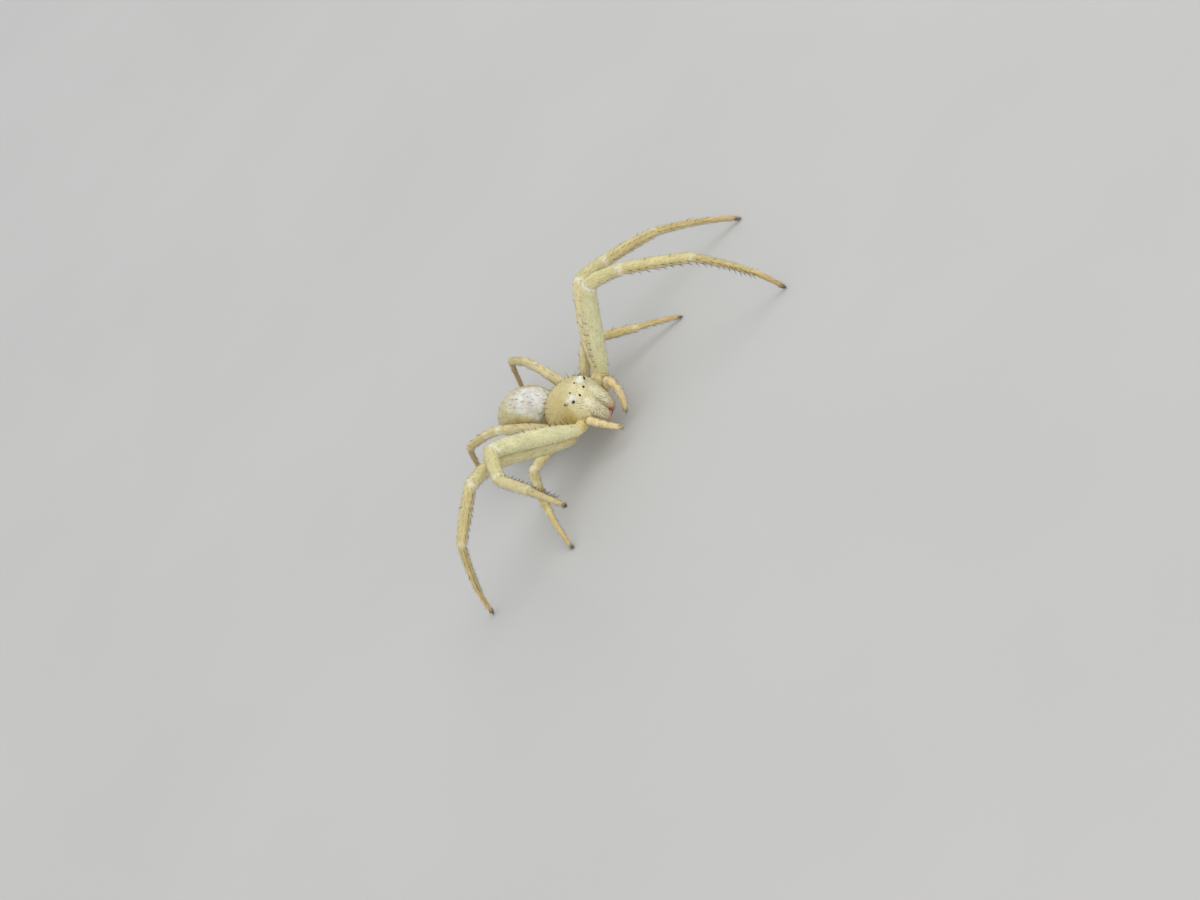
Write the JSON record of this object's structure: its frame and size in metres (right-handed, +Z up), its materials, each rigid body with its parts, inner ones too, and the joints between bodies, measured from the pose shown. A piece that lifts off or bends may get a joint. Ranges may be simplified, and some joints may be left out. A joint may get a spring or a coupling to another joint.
{
  "type": "crab spider",
  "caption": "Pale crab spider at life size, standing with a front leg raised: rounded carapace with eyes on white tubercles, slim oval abdomen, long stout front legs.",
  "frame": {"origin": "middle of the footprint's box, on the floor that the feet stand on", "axes": "+Z up, the spider faces -Y, +X is its left side"},
  "size_m": [0.0194, 0.0152, 0.0058],
  "materials": {
    "carapace": "thin translucent straw-coloured cuticle, satin, with fine dark specks",
    "abdomen": "white pigment under clear soft cuticle, mottled with fine grey-lilac lines, satin",
    "leg": "cream to pale green translucent cuticle, satin, with small brown dots",
    "palp": "yellow-tan translucent cuticle, satin",
    "chelicera": "whitish cuticle with grey stipple, satin, reddish at the tip",
    "eye": "black, smooth and glossy",
    "bristle": "dark brown stiff bristles and claws, glossy"
  },
  "bodies": {
    "root": {"cephalothorax": "carapace", "pedicel": "carapace", "abdomen": "abdomen", "spinnerets": "palp", "chelicera_left": "chelicera", "palp_left": "palp", "eye_front_middle_left": "eye", "eye_front_side_left": "eye", "eye_rear_middle_left": "eye", "eye_rear_side_left": "eye", "coxa_left_1": "leg", "femur_left_1": "leg", "patella_left_1": "leg", "tibia_left_1": "leg", "tarsus_left_1": "leg", "coxa_left_2": "leg", "femur_left_2": "leg", "patella_left_2": "leg", "tibia_left_2": "leg", "tarsus_left_2": "leg", "coxa_left_3": "leg", "femur_left_3": "leg", "patella_left_3": "leg", "tibia_left_3": "leg", "tarsus_left_3": "leg", "coxa_left_4": "leg", "femur_left_4": "leg", "patella_left_4": "leg", "tibia_left_4": "leg", "tarsus_left_4": "leg", "chelicera_right": "chelicera", "palp_right": "palp", "eye_front_middle_right": "eye", "eye_front_side_right": "eye", "eye_rear_middle_right": "eye", "eye_rear_side_right": "eye", "coxa_right_1": "leg", "femur_right_1": "leg", "patella_right_1": "leg", "tibia_right_1": "leg", "tarsus_right_1": "leg", "coxa_right_2": "leg", "femur_right_2": "leg", "patella_right_2": "leg", "tibia_right_2": "leg", "tarsus_right_2": "leg", "coxa_right_3": "leg", "femur_right_3": "leg", "patella_right_3": "leg", "tibia_right_3": "leg", "tarsus_right_3": "leg", "coxa_right_4": "leg", "femur_right_4": "leg", "patella_right_4": "leg", "tibia_right_4": "leg", "tarsus_right_4": "leg"}
  },
  "joints": []
}
